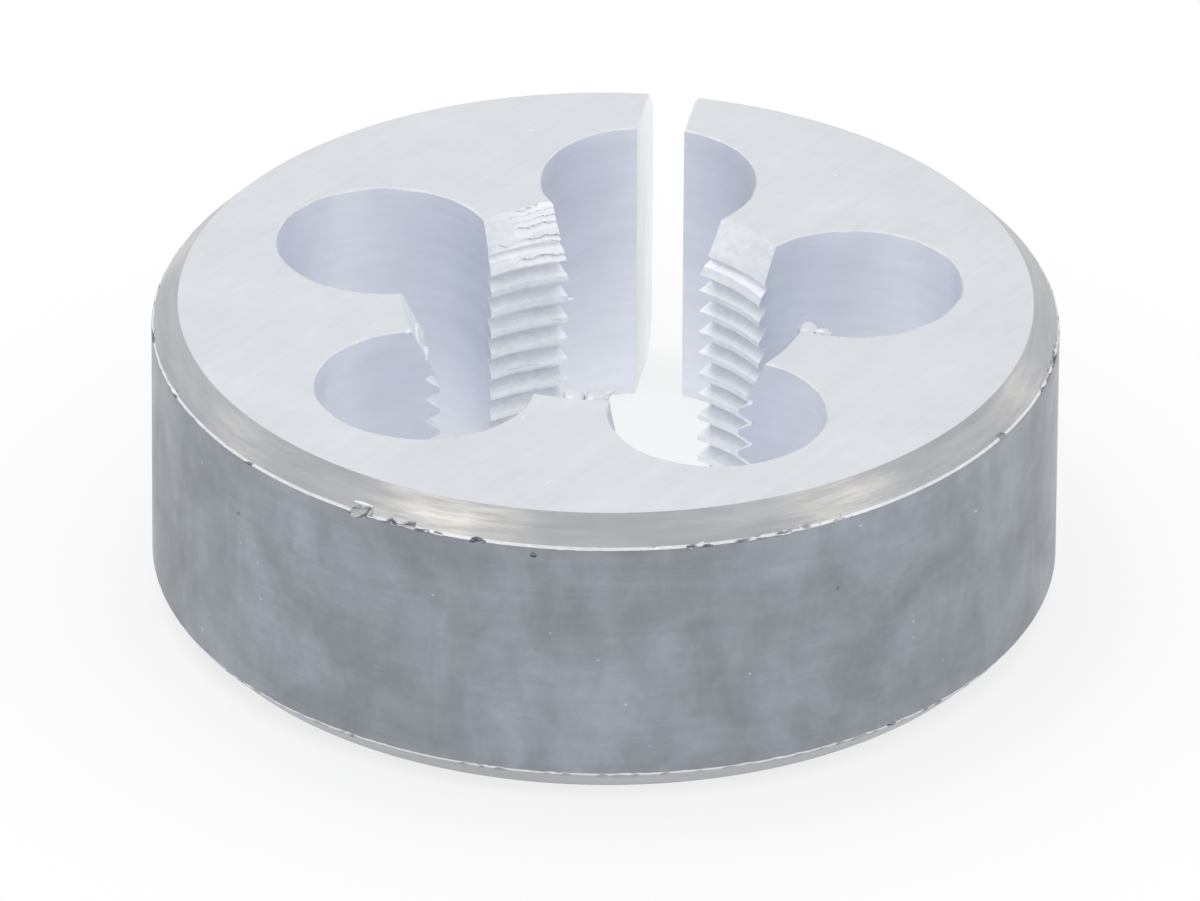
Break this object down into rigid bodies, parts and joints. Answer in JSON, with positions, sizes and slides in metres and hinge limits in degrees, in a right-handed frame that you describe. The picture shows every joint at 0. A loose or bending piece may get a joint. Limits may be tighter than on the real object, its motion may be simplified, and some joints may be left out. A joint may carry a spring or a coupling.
{
  "type": "round threading die",
  "caption": "Round split threading die: a chamfered steel disc whose chip holes open into a threaded bore, with a slit through the rim and lead cones at both faces.",
  "frame": {"origin": "centre of the bottom face, on the thread's axis", "axes": "+Z along the thread's axis, from the bottom face to the top face; +Y from the thread's axis out through the slit"},
  "size_m": [0.038, 0.038, 0.013],
  "materials": {
    "tool_steel": "ground faces, darker turned rim and drilled holes"
  },
  "bodies": {
    "root": {"threading_die": "tool_steel"}
  },
  "joints": []
}
